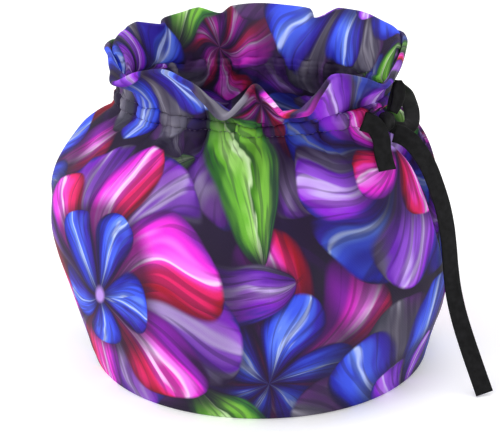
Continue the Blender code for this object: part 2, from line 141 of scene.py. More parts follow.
class Shade:
    def __init__(self, tree, socket=None):
        self.tree = tree
        self.socket = socket

    def node(self, kind, settings, inputs, output=0):
        made = self.tree.nodes.new("ShaderNode" + kind)
        for name, value in settings.items():
            setattr(made, name, value)
        for key, value in inputs.items():
            if isinstance(value, Shade):
                self.tree.links.new(value.socket, made.inputs[key])
            else:
                made.inputs[key].default_value = value
        return Shade(self.tree, made.outputs[output])

    def maths(self, operation, *values):
        return self.node("Math", {"operation": operation}, dict(enumerate(values)))

    def __add__(self, other):
        return self.maths("ADD", self, other)

    __radd__ = __add__

    def __sub__(self, other):
        return self.maths("SUBTRACT", self, other)

    def __rsub__(self, other):
        return self.maths("SUBTRACT", other, self)

    def __mul__(self, other):
        return self.maths("MULTIPLY", self, other)

    __rmul__ = __mul__

    def __truediv__(self, other):
        return self.maths("DIVIDE", self, other)

    def __pow__(self, other):
        return self.maths("POWER", self, other)

    def floor(self):
        return self.maths("FLOOR", self)

    def wrapped(self, size):
        return self.maths("FLOORED_MODULO", self, size)

    def size(self):
        return self.maths("ABSOLUTE", self)

    def sine(self):
        return self.maths("SINE", self)

    def atLeast(self, value):
        return self.maths("MAXIMUM", self, value)

    def soft(self, start, end, low=0.0, high=1.0):
        settings = {"interpolation_type": "SMOOTHSTEP"}
        return self.node("MapRange", settings, {0: self, 1: start, 2: end, 3: low, 4: high})

    def ramp(self, stops, interpolation="LINEAR"):
        made = self.node("ValToRGB", {}, {0: self})
        band = made.socket.node.color_ramp
        band.interpolation = interpolation
        while len(band.elements) < len(stops):
            band.elements.new(0.5)
        for element, (place, colour) in zip(band.elements, stops):
            element.position = place
            element.color = (*colour, 1.0)
        return made

    def pair(self, other):
        return self.node("CombineXYZ", {}, {0: self, 1: other})

    def noise(self, scale, detail=2.0, roughness=0.5, distortion=0.0):
        settings = {"noise_dimensions": "2D"}
        inputs = {
            "Vector": self,
            "Scale": scale,
            "Detail": detail,
            "Roughness": roughness,
            "Distortion": distortion,
        }
        return self.node("TexNoise", settings, inputs)

    def mixed(self, start, end):
        settings = {"data_type": "RGBA", "clamp_factor": True}
        return self.node("Mix", settings, {0: self, 6: fullColour(start), 7: fullColour(end)}, 2)


def fullColour(value):
    return value if isinstance(value, Shade) else (*value, 1.0)


def newMaterial(name, roughness, sheen=0.0):
    material = bpy.data.materials.new(name)
    material.use_nodes = True
    tree = material.node_tree
    shader = tree.nodes["Principled BSDF"]
    shader.inputs["Roughness"].default_value = roughness
    shader.inputs["Sheen Weight"].default_value = sheen
    shader.inputs["Specular IOR Level"].default_value = 0.22
    return material, tree, shader


# Ribbon: rows give a place on the middle line, then the angle and rise of the way it faces. The bow
# loop has one value more, its share of the full width.

ribbon = {
    "width": 9.0,
    "thick": 0.8,
    "pieces": 8,
    "colour": (0.0055, 0.0055, 0.006),
    "roughness": 0.62,
    "shine": 0.12,
    "ribsPerMetre": 1900.0,
    "threadsPerMetre": 3230.0,
    "tailCup": 0.25,
    "loopCup": 0.15,
}
longTail = (
    (72.8, -21.6, 127.6, -73.0, 20.0),
    (76.4, -21.0, 126.6, -70.0, 24.0),
    (80.6, -20.2, 123.8, -64.0, 26.0),
    (85.0, -18.4, 118.0, -56.0, 22.0),
    (89.0, -16.2, 110.4, -50.0, 14.0),
    (92.6, -14.8, 101.2, -46.0, 10.0),
    (96.0, -13.8, 91.0, -44.0, 8.0),
    (98.6, -13.4, 80.0, -44.0, 6.0),
    (100.4, -13.8, 69.0, -44.0, 4.0),
    (102.0, -15.0, 58.0, -46.0, 4.0),
    (104.2, -16.6, 47.0, -50.0, 4.0),
    (107.8, -18.8, 35.6, -54.0, 6.0),
    (112.6, -21.6, 24.0, -58.0, 8.0),
    (118.2, -25.0, 12.0, -60.0, 12.0),
    (123.6, -29.0, 1.4, -62.0, 16.0),
)
shortTail = (
    (60.6, -35.6, 136.2, -62.0, 10.0),
    (65.6, -32.8, 133.6, -60.0, 14.0),
    (69.0, -33.0, 128.0, -54.0, 18.0),
    (70.2, -34.8, 123.0, -52.0, 24.0),
    (71.8, -36.8, 118.8, -52.0, 28.0),
    (73.8, -39.0, 114.8, -52.0, 28.0),
)
bowLoop = (
    (71.8, -20.5, 137.2, -73.0, 20.0, 0.45),
    (72.8, -16.5, 141.2, -73.0, 16.0, 0.60),
    (72.6, -12.4, 144.8, -73.0, 14.0, 0.66),
    (72.0, -9.4, 147.8, -73.0, 20.0, 0.54),
    (71.6, -8.4, 149.4, -73.0, 90.0, 0.26),
    (71.2, -7.6, 148.0, -73.0, 160.0, 0.54),
    (71.0, -10.4, 144.8, -73.0, 196.0, 0.64),
    (70.6, -15.2, 141.0, -73.0, 198.0, 0.60),
    (70.2, -19.6, 137.4, -73.0, 200.0, 0.45),
)
ribbonSection = (
    # across and through, as shares of the half width and half thickness, with thick selvedges
    (1.0, 0.0), (0.97, 0.9), (0.86, 1.25), (0.5, 0.9), (0.0, 0.85), (-0.5, 0.9),
    (-0.86, 1.25), (-0.97, 0.9), (-1.0, 0.0), (-0.97, -0.9), (-0.86, -1.25),
    (-0.5, -0.9), (0.0, -0.85), (0.5, -0.9), (0.86, -1.25), (0.97, -0.9),
)


def smoothPath(rows, pieces):
    table = np.array(rows, float)
    ends = np.vstack([2 * table[0] - table[1], table, 2 * table[-1] - table[-2]])
    path = []
    for k in range(1, len(ends) - 2):
        before, here, after, later = ends[k - 1 : k + 3]
        for part in np.linspace(0.0, 1.0, pieces, endpoint=False):
            bend = (2 * before - 5 * here + 4 * after - later) * part**2
            twist = (3 * here - before - 3 * after + later) * part**3
            path.append(0.5 * (2 * here + (after - before) * part + bend + twist))
    path.append(table[-1])
    return np.array(path)


def unit(vectors):
    return vectors / np.linalg.norm(vectors, axis=-1, keepdims=True)


def makeObject(name, points, faces, material, uv=None):
    mesh = bpy.data.meshes.new(name)
    mesh.from_pydata(toFrame(points).tolist(), [], faces)
    mesh.polygons.foreach_set("use_smooth", [True] * len(mesh.polygons))
    if uv is not None:
        layer = mesh.uv_layers.new(name="clothMap")
        layer.data.foreach_set("uv", np.asarray(uv, np.float32).ravel())
    mesh.materials.append(material)
    made = bpy.data.objects.new(name, mesh)
    bpy.context.collection.objects.link(made)
    return made


def sweptMesh(name, rings, uvAcross, uvAlong, material):
    count = len(rings[0])
    points = np.concatenate(rings)
    faces = []
    uv = []
    for j in range(len(rings) - 1):
        here = j * count
        above = here + count
        for k in range(count):
            following = (k + 1) % count
            faces.append((here + k, here + following, above + following, above + k))
            near, far = uvAcross[k], uvAcross[following]
            uv += [
                (near, uvAlong[j]),
                (far, uvAlong[j]),
                (far, uvAlong[j + 1]),
                (near, uvAlong[j + 1]),
            ]
    last = (len(rings) - 1) * count
    faces.append(tuple(range(count - 1, -1, -1)))
    faces.append(tuple(range(last, last + count)))
    uv += [(uvAcross[k], uvAlong[0]) for k in range(count - 1, -1, -1)]
    uv += [(uvAcross[k], uvAlong[-1]) for k in range(count)]
    return makeObject(name, points, faces, material, uv)


def ribbonStrip(name, rows, material, cup):
    path = smoothPath(rows, ribbon["pieces"])
    places = path[:, :3]
    heading = unit(np.gradient(places, axis=0))
    turn = np.radians(path[:, 3])
    rise = np.radians(path[:, 4])
    facing = np.stack([np.cos(rise) * np.cos(turn), np.cos(rise) * np.sin(turn), np.sin(rise)], 1)
    across = unit(np.cross(heading, facing))
    flat = np.cross(across, heading)
    thin = ribbon["thick"] / 2
    halves = np.full(len(path), ribbon["width"] / 2)
    if path.shape[1] > 5:
        halves *= path[:, 5]
    length = np.concatenate([[0.0], np.cumsum(np.linalg.norm(np.diff(places, axis=0), axis=1))])
    rings = []
    for place, wide, out, half in zip(places, across, flat, halves):
        rings.append(np.array([
            place + wide * half * a + out * (thin * t - cup * (a * a - 0.4))
            for a, t in ribbonSection
        ]))
    sideways = [a * ribbon["width"] / 2 * milli for a, t in ribbonSection]
    made = sweptMesh(name, rings, sideways, length * milli, material)
    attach(made, "root")
    return made, places, length[-1]


def ribbonMaterial(name):
    material, tree, shader = newMaterial(name, ribbon["roughness"])
    shader.inputs["Specular IOR Level"].default_value = ribbon["shine"]
    start = Shade(tree)
    uv = start.node("UVMap", {"uv_map": "clothMap"}, {})
    parts = start.node("SeparateXYZ", {}, {0: uv})
    along = Shade(tree, parts.socket.node.outputs[1])
    across = Shade(tree, parts.socket.node.outputs[0])
    ribs = (along * (ribbon["ribsPerMetre"] * 2 * math.pi)).sine()
    threads = (across * (ribbon["threadsPerMetre"] * 2 * math.pi)).sine()
    fuzz = uv.noise(2500.0, 2.0)
    height = ribs * 0.5 + threads * 0.3 + fuzz
    bump = start.node("Bump", {}, {"Height": height, "Strength": 0.35, "Distance": 0.0001})
    tree.links.new(bump.socket, shader.inputs["Normal"])
    dark = tuple(0.7 * part for part in ribbon["colour"])
    worn = tuple(1.9 * part for part in ribbon["colour"])
    shade = uv.noise(300.0, 3.0).ramp(((0.3, dark), (0.75, worn)))
    tree.links.new(shade.socket, shader.inputs["Base Color"])
    return material


def buildTails():
    tailLook = ribbonMaterial("tailRibbon")
    for name, rows, node in (
        ("longTail", longTail, "tail_long"),
        ("shortTail", shortTail, "tail_short"),
    ):
        strip, places, length = ribbonStrip(name, rows, tailLook, ribbon["tailCup"])
        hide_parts(node)
        print(name, "length", round(length, 1), "mm")


# Cloth panels

cloth = {
    "columns": 250,
    "half": 1.25,
    "hemHalf": 1.5,
    "seamRound": 0.8,
    "freeEdge": (0.15, 3.0),
    "roundSteps": (72.0, 50.0, 25.0),
    "casingSwell": 0.75,
    "swellBlend": 1.6,
    "rimExtra": 0.9,
    "lipWidth": 9.0,
    "hemFade": (9.0, 14.0),
    "heightRuns": ((1.5, 112.0, 50), (113.6, 126.0, 10), (127.0, 137.6, 18)),
    "neckHeight": 131.6,
    "flatPerDegree": 1.667,
    "printSmoothing": 30,
}
folds = {
    "gatherFade": 2.2,
    "gatherAbove": 14.0,
    "leanOver": 50.0,
    "widenOver": 45.0,
    "creaseDepth": 0.35,
    "creaseWidth": 0.3,
    "bellyHeight": 52.0,
    "bellySpread": 42.0,
    "puckers": 22.0,
    "puckerDepth": 1.05,
    "bunchDepth": 0.35,
    "rowDepth": 0.55,
    "rowWidth": 0.75,
    "neckRadius": 68.0,
}
bodyRows = (
    # height, reach right, front, left, back, then how far each edge is from the middle of its
    # slit: right front, right back, left back, left front
    (0.0, 85.8, 86.1, 85.8, 86.1, 0.02, 0.02, 0.02, 0.02),
    (1.2, 86.0, 86.3, 86.0, 86.3, 0.02, 0.02, 0.02, 0.02),
    (9.0, 87.8, 89.3, 88.4, 89.0, 0.02, 0.02, 0.02, 0.02),
    (20.0, 90.8, 92.2, 91.8, 92.0, 0.02, 0.02, 0.02, 0.02),
    (32.0, 94.2, 94.4, 95.8, 94.0, 0.02, 0.02, 0.02, 0.02),
    (45.0, 95.4, 95.4, 100.4, 95.0, 4.5, 1.5, 0.02, 0.02),
    (57.0, 94.4, 95.4, 104.6, 95.2, 9.0, 2.4, 0.02, 0.02),
    (69.0, 92.6, 94.2, 107.0, 94.0, 13.5, 3.6, 8.0, 8.0),
    (81.0, 90.4, 91.6, 106.2, 91.4, 17.0, 5.5, 13.5, 13.5),
    (92.0, 87.6, 87.8, 102.8, 87.6, 18.5, 9.0, 16.5, 16.5),
    (102.0, 84.2, 82.8, 98.0, 82.8, 19.0, 15.0, 18.0, 18.0),
    (111.0, 81.2, 76.8, 92.4, 76.8, 20.5, 24.0, 18.0, 18.0),
    (119.0, 77.4, 70.0, 86.6, 70.0, 23.0, 33.0, 17.5, 17.5),
    (125.0, 73.2, 62.8, 79.6, 62.8, 26.0, 38.0, 17.0, 17.0),
    (128.6, 71.4, 59.5, 74.4, 59.5, 28.6, 39.5, 17.0, 17.0),
    (134.6, 69.6, 57.7, 72.6, 57.7, 28.6, 39.5, 17.0, 17.0),
    (137.6, 69.6, 57.7, 72.6, 57.7, 28.6, 39.5, 17.0, 17.0),
)
lips = (
    # height, outward roll of the free edges, right and left
    (33.0, 0.0, 0.0),
    (57.0, 1.6, 0.0),
    (72.0, 2.6, 2.2),
    (92.0, 3.0, 3.4),
    (111.0, 2.8, 2.6),
    (125.0, 1.2, 1.0),
    (129.0, 0.0, 0.0),
)
frill = {
    "base": 137.6,
    "lift": 0.6,
    "out": 2.0,
    "fanShare": 0.24,
    "frontFlapIn": 4.0,
    "backFlapIn": 8.0,
    "flapBulge": 2.6,
    "frontFlapBegins": -32.0,
    "frontFlapBlend": 20.0,
    "backFlapBegins": 166.0,
    "backFlapBlend": 12.0,
    "fanRate": 14,
    "fanPower": 1.5,
    "nearReach": 73.0,
    "farReach": 75.0,
    "sideLength": 24.0,
    "steps": 34,
}
frontRim = (
    # angle, reach, height
    (52.0, 80.4, 156.4),
    (44.0, 79.6, 158.0),
    (38.5, 78.0, 159.0),
    (29.0, 74.6, 158.6),
    (18.0, 70.9, 158.0),
    (6.0, 69.2, 157.4),
    (-10.0, 70.8, 155.4),
    (-18.0, 74.6, 153.8),
    (-25.5, 77.6, 153.0),
    (-32.0, 73.0, 156.8),
    (-44.0, 70.0, 160.4),
    (-53.0, 77.0, 154.6),
    (-59.5, 86.0, 149.2),
    (-65.5, 87.5, 149.2),
    (-70.0, 79.0, 154.2),
    (-74.8, 70.5, 158.2),
    (-79.0, 79.0, 153.2),
    (-83.5, 88.0, 148.2),
    (-90.0, 83.5, 153.8),
    (-98.5, 76.0, 159.2),
    (-112.0, 70.0, 160.6),
    (-123.0, 74.0, 157.6),
    (-131.5, 80.0, 151.8),
    (-141.0, 75.8, 154.8),
    (-156.0, 73.6, 157.0),
    (-166.0, 76.2, 157.7),
    (-176.0, 77.4, 157.2),
    (-186.0, 77.8, 155.4),
)
backRim = (
    (20.0, 68.2, 156.8),
    (29.0, 71.6, 157.6),
    (34.5, 73.6, 158.6),
    (40.0, 75.9, 159.4),
    (44.0, 76.5, 160.0),
    (52.0, 77.5, 160.6),
    (66.0, 80.0, 162.2),
    (75.0, 79.5, 162.4),
    (81.5, 67.5, 158.8),
    (87.0, 77.5, 161.0),
    (96.0, 80.0, 161.4),
    (107.0, 82.0, 161.8),
    (118.0, 78.5, 161.6),
    (125.3, 67.5, 160.8),
    (131.5, 79.0, 161.8),
    (141.0, 77.5, 160.4),
    (149.0, 75.5, 160.0),
    (156.5, 67.5, 159.6),
    (161.5, 78.5, 160.2),
    (168.0, 77.2, 160.0),
    (174.0, 74.8, 159.8),
    (181.0, 74.0, 159.2),
    (189.0, 73.0, 158.2),
    (202.0, 70.8, 156.6),
)
gathers = (
    # angle at the neck, lean, depth, width, reach
    (-33.0, -2.0, 1.2, 4.4, 26.0),
    (-46.0, 2.0, 2.7, 4.3, 46.0),
    (-60.0, -1.0, 1.8, 3.6, 22.0),
    (-72.0, 1.0, 2.6, 4.1, 34.0),
    (-85.0, -3.0, 2.2, 3.8, 40.0),
    (-99.0, -4.0, 2.8, 4.5, 52.0),
    (-113.0, -6.0, 2.3, 4.1, 48.0),
    (-126.0, -9.0, 3.0, 4.7, 66.0),
    (-140.0, -8.0, 2.4, 4.3, 58.0),
    (-154.0, -6.0, 1.9, 4.0, 30.0),
    (38.0, 4.0, 2.7, 4.5, 50.0),
    (53.0, 2.0, 2.0, 4.0, 28.0),
    (67.0, 1.0, 2.8, 4.3, 44.0),
    (81.0, 0.0, 2.4, 4.0, 36.0),
    (96.0, -1.0, 2.0, 4.1, 30.0),
    (110.0, 2.0, 2.7, 4.5, 48.0),
    (125.0, 3.0, 2.4, 4.1, 40.0),
    (139.0, 5.0, 2.6, 4.3, 54.0),
    (153.0, 5.0, 1.9, 4.0, 32.0),
)
stitchRows = (
    # angle, height of the lower row, height of the upper row
    (-170.0, 130.8, 136.8),
    (-150.0, 131.0, 137.2),
    (-125.0, 130.6, 137.0),
    (-104.0, 131.4, 137.0),
    (-89.0, 132.2, 136.8),
    (-75.0, 130.4, 134.8),
    (-59.0, 131.6, 137.8),
    (-45.0, 132.0, 139.0),
    (-30.0, 132.6, 140.4),
    (30.0, 132.0, 138.0),
    (60.0, 131.2, 137.2),
    (95.0, 131.8, 137.4),
    (130.0, 131.0, 136.8),
    (170.0, 131.4, 137.0),
)
creases = (
    # soft ridges (+) and troughs (-): angle and height of both ends, depth, width
    (-138.0, 131.0, -143.5, 106.0, 1.1, 2.2),
    (-134.0, 129.0, -139.0, 110.0, -1.0, 3.2),
    (-117.6, 130.0, -118.0, 113.0, 1.2, 2.0),
    (-121.5, 130.0, -123.0, 112.0, -0.9, 2.6),
    (-107.5, 129.0, -107.5, 120.0, 0.9, 1.6),
    (-100.0, 126.0, -95.0, 106.0, -1.1, 2.0),
    (-93.0, 131.0, -95.0, 121.0, 1.0, 1.6),
    (-78.0, 130.0, -80.0, 118.0, -0.9, 1.8),
    (-44.5, 128.0, -37.0, 116.0, -0.9, 1.4),
    (-60.0, 130.0, -55.0, 116.0, -0.8, 2.2),
    (-66.0, 129.0, -64.0, 114.0, 0.8, 2.4),
    (-148.0, 127.0, -154.0, 104.0, -1.2, 3.0),
    (60.0, 128.0, 64.0, 108.0, -1.0, 2.6),
    (88.0, 129.0, 90.0, 112.0, -0.9, 2.4),
    (118.0, 129.0, 122.0, 106.0, -1.1, 2.8),
    (146.0, 128.0, 150.0, 108.0, -1.0, 2.6),
    (-30.0, 139.0, -22.0, 152.0, -0.8, 1.8),
    (-46.0, 139.0, -40.0, 154.0, -0.9, 1.8),
    (-52.0, 140.0, -48.0, 155.0, 0.8, 1.6),
    (-107.0, 139.0, -112.0, 154.0, -1.0, 2.4),
    (-116.0, 139.0, -122.0, 152.0, 0.9, 2.2),
    (-128.0, 139.0, -138.0, 150.0, -1.2, 2.6),
)


def steadyCurve(rows, column, where):
    # monotone cubic through one column of a table
    table = np.array(rows, float)
    table = table[np.argsort(table[:, 0])]
    knots = table[:, 0]
    values = table[:, column]
    steps = np.diff(knots)
    slopes = np.diff(values) / steps
    rates = np.zeros(len(knots))
    for k in range(1, len(knots) - 1):
        if slopes[k - 1] * slopes[k] > 0:
            near = 2 * steps[k] + steps[k - 1]
            far = steps[k] + 2 * steps[k - 1]
            rates[k] = (near + far) / (near / slopes[k - 1] + far / slopes[k])
    rates[0] = slopes[0]
    rates[-1] = slopes[-1]
    place = np.clip(where, knots[0], knots[-1])
    index = np.clip(np.searchsorted(knots, place) - 1, 0, len(steps) - 1)
    part = (place - knots[index]) / steps[index]
    rest = 1 - part
    return (
        values[index] * (1 + 2 * part) * rest**2
        + rates[index] * steps[index] * part * rest**2
        + values[index + 1] * part**2 * (3 - 2 * part)
        - rates[index + 1] * steps[index] * part**2 * rest
    )


def reachAt(right, front, left, back, angle):
    turn = np.radians(angle)
    along = np.cos(turn)
    across = np.sin(turn)
    halfX = np.where(along >= 0, right, left)
    halfY = np.where(across >= 0, back, front)
    return 1 / np.sqrt((along / halfX) ** 2 + (across / halfY) ** 2)


def gatherDepth(angle, height):
    below = np.maximum(0.0, cloth["neckHeight"] - height)
    above = np.maximum(0.0, height - cloth["neckHeight"])
    total = np.zeros(np.broadcast(angle, height).shape)
    for middle, lean, depth, width, reach in gathers:
        fade = np.exp(-((below / reach) ** 2) * folds["gatherFade"] - above / folds["gatherAbove"])
        away = angle - middle - lean * below / folds["leanOver"]
        spread = width * (1 + below / folds["widenOver"])
        total += depth * fade * np.exp(-((away / spread) ** 2))
        crease = np.exp(-((away / (folds["creaseWidth"] * spread)) ** 2))
        total += folds["creaseDepth"] * depth * fade * crease
    return total


def slowWaves(angle, height):
    belly = np.exp(-(((height - folds["bellyHeight"]) / folds["bellySpread"]) ** 2))
    turn = np.radians(angle)
    first = 0.8 * np.sin(3 * turn + 0.7 + height / 60.0)
    second = 0.6 * np.sin(5 * turn - 1.1 - height / 48.0)
    return belly * (first + second)


def smoothStep(value, low, high):
    part = np.clip((value - low) / (high - low), 0.0, 1.0)
    return part * part * (3 - 2 * part)


def fineFolds(angle, height, column):
    # puckers at the two rows of stitches, the bunched casing between them, and the creases
    turn = np.radians(column)
    low = steadyCurve(stitchRows, 1, column)
    high = steadyCurve(stitchRows, 2, column)
    below = np.maximum(0.0, low - height)
    above = np.maximum(0.0, height - high)
    warp = 1.1 * np.sin(3 * turn + 1.3) + 0.7 * np.sin(8 * turn - 0.4)
    warp += 0.35 * np.sin(15 * turn + 2.0)
    length = 11.0 + 5.0 * np.sin(7 * turn + 0.9) + 3.0 * np.sin(17 * turn)
    strength = 0.7 + 0.3 * np.sin(5 * turn + 2.2)
    pleat = np.abs(np.sin(folds["puckers"] * turn + warp)) ** 0.8 - 0.62
    fade = np.exp(-((below / length) ** 2) - (above / (0.8 * length)) ** 2)
    total = folds["puckerDepth"] * strength * pleat * fade
    inside = smoothStep(height, low - 0.3, low + 0.6)
    inside = inside * (1 - smoothStep(height, high - 0.6, high + 0.3))
    total += inside * folds["bunchDepth"] * np.sin(2.6 * folds["puckers"] * turn - 2 * warp)
    for row in (low, high):
        total -= folds["rowDepth"] * np.exp(-(((height - row) / folds["rowWidth"]) ** 2))
    neckScale = math.radians(folds["neckRadius"])
    for startAngle, startHeight, endAngle, endHeight, depth, width in creases:
        alongX = (endAngle - startAngle) * neckScale
        alongZ = endHeight - startHeight
        span = alongX * alongX + alongZ * alongZ
        offX = (angle - startAngle) * neckScale
        offZ = height - startHeight
        part = np.clip((offX * alongX + offZ * alongZ) / span, 0.0, 1.0)
        away = np.hypot(offX - alongX * part, offZ - alongZ * part)
        swell = 0.35 + 0.65 * np.sin(math.pi * (0.15 + 0.7 * part))
        total += depth * swell * np.exp(-((away / width) ** 2))
    return total


def roundedEnds(count, edge):
    # shares of a row's length, with a quarter round at both ends; edge is how far in each goes
    steps = np.radians(np.array(cloth["roundSteps"]))
    near = edge[:, :1] * (1 - np.sin(steps))
    far = 1 - edge[:, 1:] * (1 - np.sin(steps[::-1]))
    first = edge[:, :1]
    last = 1 - edge[:, 1:]
    middle = first + (last - first) * np.linspace(0.0, 1.0, count)
    return np.concatenate([near, middle, far], 1)


def fan(share):
    # how much of the frill's sideways spread a column takes, most at its end
    return np.clip(1 - share / frill["fanShare"], 0.0, 1.0) ** frill["fanPower"]


def panelGrid(front):
    side = -1.0 if front else 1.0
    rimRows = frontRim if front else backRim
    steps = np.radians(np.array(cloth["roundSteps"]))
    hemHeights = cloth["hemHalf"] * (1 - np.sin(steps))
    heights = np.concatenate([hemHeights, *(np.linspace(*run) for run in cloth["heightRuns"])])
    stepShares = np.linspace(0.0, 1.0, frill["steps"] + 1)[1:]
    extra = cloth["rimExtra"] / frill["sideLength"]
    rimShares = 1 + extra - cloth["half"] * (1 - np.sin(steps[::-1])) / frill["sideLength"]
    shares = np.concatenate([stepShares[:-1], rimShares])
    columnsOf = [steadyCurve(bodyRows, k, heights) for k in range(1, 9)]
    right, frontSide, left, back = columnsOf[:4]
    near = columnsOf[4] if front else columnsOf[5]
    far = columnsOf[7] if front else columnsOf[6]
    start = np.degrees(np.arcsin(near / right))
    finish = 180.0 - np.degrees(np.arcsin(far / left))
    bodyCount = len(heights)
    rowCount = bodyCount + len(shares)

    # how far each side edge is rounded in: little at the seams, the half thickness when free
    half = np.full(rowCount, cloth["half"])
    hemPart = 1 - smoothStep(heights, *cloth["hemFade"])
    half[:bodyCount] += (cloth["hemHalf"] - cloth["half"]) * hemPart
    inset = np.zeros((rowCount, 2))
    for k, edge in enumerate((near, far)):
        free = smoothStep(edge, *cloth["freeEdge"])
        inset[:bodyCount, k] = cloth["seamRound"] + (half[:bodyCount] - cloth["seamRound"]) * free
        inset[bodyCount:, k] = cloth["half"]
    length = np.zeros((rowCount, 2))
    length[:bodyCount] = (np.radians(finish - start) * 0.5 * (right + left))[:, None]
    turning = 1 - (1 - np.minimum(shares, 1.0)) ** frill["fanRate"]
    sweep = side * (finish[-1] - start[-1])
    nearSpread = rimRows[0][0] - side * start[-1]
    farSpread = rimRows[-1][0] - side * finish[-1]
    steepness = frill["fanPower"] / frill["fanShare"]
    nearRate = sweep - nearSpread * steepness * turning
    farRate = sweep + farSpread * steepness * turning
    length[bodyCount:, 0] = np.radians(np.abs(nearRate)) * frill["nearReach"]
    length[bodyCount:, 1] = np.radians(np.abs(farRate)) * frill["farReach"]
    share = roundedEnds(cloth["columns"], inset / length)

    angle = np.zeros((rowCount, share.shape[1]))
    reach = np.zeros_like(angle)
    height = np.zeros_like(angle)
    low = slice(0, bodyCount)
    tall = heights[:, None]
    spread = start[:, None] + (finish - start)[:, None] * share[low]
    angle[low] = side * spread
    height[low] = tall
    base = reachAt(right[:, None], frontSide[:, None], left[:, None], back[:, None], angle[low])
    casingFoot = bodyRows[-3][0]
    level = np.where(tall < casingFoot, tall, cloth["neckHeight"])
    base = base - gatherDepth(angle[low], level) + slowWaves(angle[low], tall)
    rightLip = steadyCurve(lips, 1, heights)[:, None]
    leftLip = steadyCurve(lips, 2, heights)[:, None]
    fromNear = np.radians(spread - start[:, None]) * right[:, None]
    fromFar = np.radians(finish[:, None] - spread) * left[:, None]
    base = base + rightLip * np.exp(-((fromNear / cloth["lipWidth"]) ** 2))
    base = base + leftLip * np.exp(-((fromFar / cloth["lipWidth"]) ** 2))
    reach[low] = base

    top = slice(bodyCount, rowCount)
    step = shares[:, None]
    foot = side * (start[-1] + (finish[-1] - start[-1]) * share[top])
    neckSides = [column[-1] for column in (right, frontSide, left, back)]
    footReach = reachAt(*neckSides, foot) - gatherDepth(foot, frill["base"])
    fanned = nearSpread * fan(share[top]) + farSpread * fan(1 - share[top])
    rimReach = steadyCurve(rimRows, 1, foot + fanned)
    rimHeight = steadyCurve(rimRows, 2, foot + fanned)
    turned = foot + fanned * turning[:, None]
    which = "front" if front else "back"
    flap = (turned - frill[which + "FlapBegins"]) / frill[which + "FlapBlend"]
    flap = np.clip(flap, 0.0, 1.0)
    bulge = footReach + frill["out"] - frill[which + "FlapIn"] * flap
    out = (1 - step) ** 2 * footReach + 2 * step * (1 - step) * bulge + step**2 * rimReach
    if front:
        # 27 / 4 makes the bulge full at two thirds of the way up
        out = out + frill["flapBulge"] * flap * 27 / 4 * step**2 * (1 - step)
    bend = frill["base"] + frill["lift"] * (rimHeight - frill["base"])
    rise = (1 - step) ** 2 * frill["base"] + 2 * step * (1 - step) * bend + step**2 * rimHeight
    angle[top] = turned
    reach[top] = out
    height[top] = rise

    turn = np.radians(angle)
    points = np.stack([reach * np.cos(turn), reach * np.sin(turn), height], 2)
    normals = gridNormals(points, front)
    column = angle.copy()
    column[top] = foot
    middle = points + normals * fineFolds(angle, height, column)[:, :, None]
    normals = gridNormals(middle, front)
    thick = halfThickness(height, column, half, inset)
    return middle, normals, thick, flatPlaces(points, side * angle), foot[-1]


def halfThickness(height, column, half, inset):
    # swollen at the casing, rounded off at hem, rim and side edges
    lowRow = steadyCurve(stitchRows, 1, column)
    highRow = steadyCurve(stitchRows, 2, column)
    blend = cloth["swellBlend"]
    swell = smoothStep(height, lowRow, lowRow + blend)
    swell = swell * (1 - smoothStep(height, highRow - blend, highRow))
    thick = half[:, None] + cloth["casingSwell"] * swell
    falling = np.cos(np.radians(np.array(cloth["roundSteps"])))
    rounds = len(falling)
    thick[:rounds] *= falling[:, None]
    thick[-rounds:] *= falling[::-1][:, None]
    for k in range(rounds):
        cut = inset * (1 - falling[k])
        thick[:, k] *= 1 - cut[:, 0] / half
        thick[:, -1 - k] *= 1 - cut[:, 1] / half
    return thick


def flatPlaces(points, angle):
    # flat cloth coordinates in decimetres
    climb = np.concatenate([
        np.zeros((1, angle.shape[1])),
        np.cumsum(np.linalg.norm(np.diff(points, axis=0), axis=2), axis=0),
    ])
    flatX = (angle - 90.0) * cloth["flatPerDegree"] / 100.0
    margin = cloth["printSmoothing"]
    kernel = np.hanning(2 * margin + 1)
    kernel = kernel / kernel.sum()
    padded = np.pad(climb, ((0, 0), (margin, margin)), mode="edge")
    flatY = np.stack([np.convolve(row, kernel, mode="valid") for row in padded]) / 100.0
    return np.stack([flatX, flatY], 2)


def gridNormals(points, front):
    along = np.gradient(points, axis=1)
    upward = np.gradient(points, axis=0)
    normal = np.cross(along, upward)
    return unit(-normal if front else normal)


